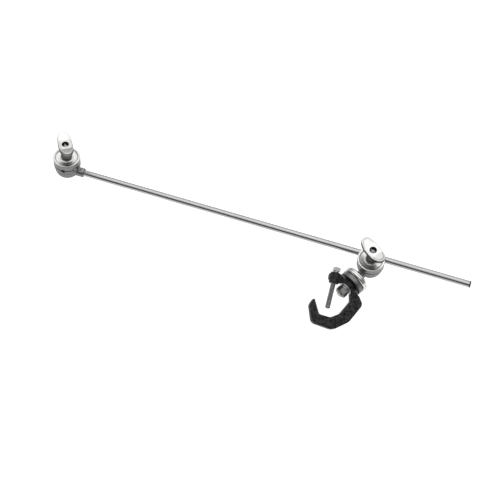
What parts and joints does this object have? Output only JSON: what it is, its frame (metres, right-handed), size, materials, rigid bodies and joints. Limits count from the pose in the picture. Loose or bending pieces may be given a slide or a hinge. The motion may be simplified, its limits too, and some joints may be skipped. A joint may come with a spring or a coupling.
{
  "type": "grip arm with pipe clamp",
  "caption": "Long round arm with a T-handled grip head fixed on one end and a sliding grip head carried by a cast pipe clamp.",
  "frame": {"origin": "axis of a 48.3 mm pipe held in the clamp, in the middle plane of the clamp frame", "axes": "+X along the arm to its open end, +Z along the sliding head bolt to its T-handle, +Y from the clamp towards the heads"},
  "size_m": [1.061, 0.2501, 0.1596],
  "materials": {
    "tube_chrome": "bright plated steel tube",
    "head_alloy": "satin cast alloy",
    "jaw_alloy": "satin machined alloy",
    "handle_alloy": "bright cast alloy",
    "disc_chrome": "bright plated steel",
    "grey_steel": "plain grey steel",
    "zinc_steel": "zinc plated steel",
    "spring_steel": "bright spring steel",
    "bronze": "plain bronze",
    "black_iron": "black paint over rough cast iron"
  },
  "bodies": {
    "clamp": {"clamp_frame": "black_iron", "clamp_disc": "disc_chrome", "clamp_spacer": "grey_steel"},
    "pipe_bolt": {"pipe_bolt": "zinc_steel"},
    "head_base": {"swivel_disc": "disc_chrome", "mounting_stud": "zinc_steel", "stud_washer": "zinc_steel", "stud_lock_washer": "spring_steel", "stud_nut": "zinc_steel", "stud_pin": "grey_steel", "sliding_base": "head_alloy", "sliding_head_bolt": "zinc_steel", "sliding_stop_pin": "grey_steel", "sliding_friction_disc": "bronze"},
    "sliding_jaws": {"sliding_rear_jaw": "jaw_alloy", "sliding_jaw_spring": "spring_steel"},
    "sliding_front": {"sliding_front_jaw": "jaw_alloy"},
    "sliding_thrust": {"sliding_thrust_washer": "zinc_steel", "sliding_thrust_bearing": "grey_steel"},
    "sliding_handle": {"sliding_t_handle": "handle_alloy"},
    "arm": {"arm_tube": "tube_chrome"},
    "fixed_head": {"fixed_base": "head_alloy", "socket_set_screw": "grey_steel", "fixed_head_bolt": "zinc_steel", "fixed_stop_pin": "grey_steel", "fixed_friction_disc": "bronze"},
    "fixed_jaws": {"fixed_rear_jaw": "jaw_alloy", "fixed_jaw_spring": "spring_steel"},
    "fixed_front": {"fixed_front_jaw": "jaw_alloy"},
    "fixed_thrust": {"fixed_thrust_washer": "zinc_steel", "fixed_thrust_bearing": "grey_steel"},
    "fixed_handle": {"fixed_t_handle": "handle_alloy"}
  },
  "joints": [
    {"name": "clamp_swivel", "type": "hinge", "parent": "clamp", "child": "head_base", "pos_m": [0.06394, 0.1319, 0.00232], "axis": [0.4695, 0.8829, 0], "continuous": true},
    {"name": "pipe_bolt_travel", "type": "slide", "parent": "clamp", "child": "pipe_bolt", "axis": [0.0604, -0.9743, -0.2168], "range_m": [-0.033, 0.0035]},
    {"name": "sliding_jaw_turn", "type": "hinge", "parent": "head_base", "child": "sliding_jaws", "pos_m": [0.06394, 0.1319, 0.02662], "axis": [0, 0, 1], "range_deg": [-92, 28]},
    {"name": "sliding_jaw_open", "type": "slide", "parent": "sliding_jaws", "child": "sliding_front", "axis": [0, 0, 1], "range_m": [0, 0.0046], "deforming": ["sliding_jaw_spring"]},
    {"name": "sliding_thrust_lift", "type": "slide", "parent": "head_base", "child": "sliding_thrust", "axis": [0, 0, 1], "range_m": [0, 0.0046]},
    {"name": "sliding_handle_turn", "type": "hinge", "parent": "sliding_thrust", "child": "sliding_handle", "pos_m": [0.06394, 0.1319, 0.02662], "axis": [0, 0, 1], "range_deg": [0, 810]},
    {"name": "arm_slide", "type": "slide", "parent": "sliding_jaws", "child": "arm", "axis": [1, 0, 0], "range_m": [-0.19, 0.58]},
    {"name": "arm_spin", "type": "hinge", "parent": "arm", "child": "fixed_head", "pos_m": [-0.72306, 0.1484, 0.02662], "axis": [1, 0, 0], "continuous": true},
    {"name": "fixed_jaw_turn", "type": "hinge", "parent": "fixed_head", "child": "fixed_jaws", "pos_m": [-0.72306, 0.15288, 0.05203], "axis": [0, 0.1736, 0.9848], "continuous": true},
    {"name": "fixed_jaw_open", "type": "slide", "parent": "fixed_jaws", "child": "fixed_front", "axis": [0, 0.1736, 0.9848], "range_m": [-0.002, 0.004], "deforming": ["fixed_jaw_spring"]},
    {"name": "fixed_thrust_lift", "type": "slide", "parent": "fixed_head", "child": "fixed_thrust", "axis": [0, 0.1736, 0.9848], "range_m": [-0.002, 0.004]},
    {"name": "fixed_handle_turn", "type": "hinge", "parent": "fixed_thrust", "child": "fixed_handle", "pos_m": [-0.72306, 0.15288, 0.05203], "axis": [0, 0.1736, 0.9848], "range_deg": [-360, 720]}
  ],
  "couplings": [
    {"joint": "sliding_jaw_open", "follows": "sliding_handle_turn", "m_per_rad": 0.00031099},
    {"joint": "sliding_thrust_lift", "follows": "sliding_handle_turn", "m_per_rad": 0.00031099},
    {"joint": "fixed_jaw_open", "follows": "fixed_handle_turn", "m_per_rad": 0.00031099},
    {"joint": "fixed_thrust_lift", "follows": "fixed_handle_turn", "m_per_rad": 0.00031099}
  ]
}
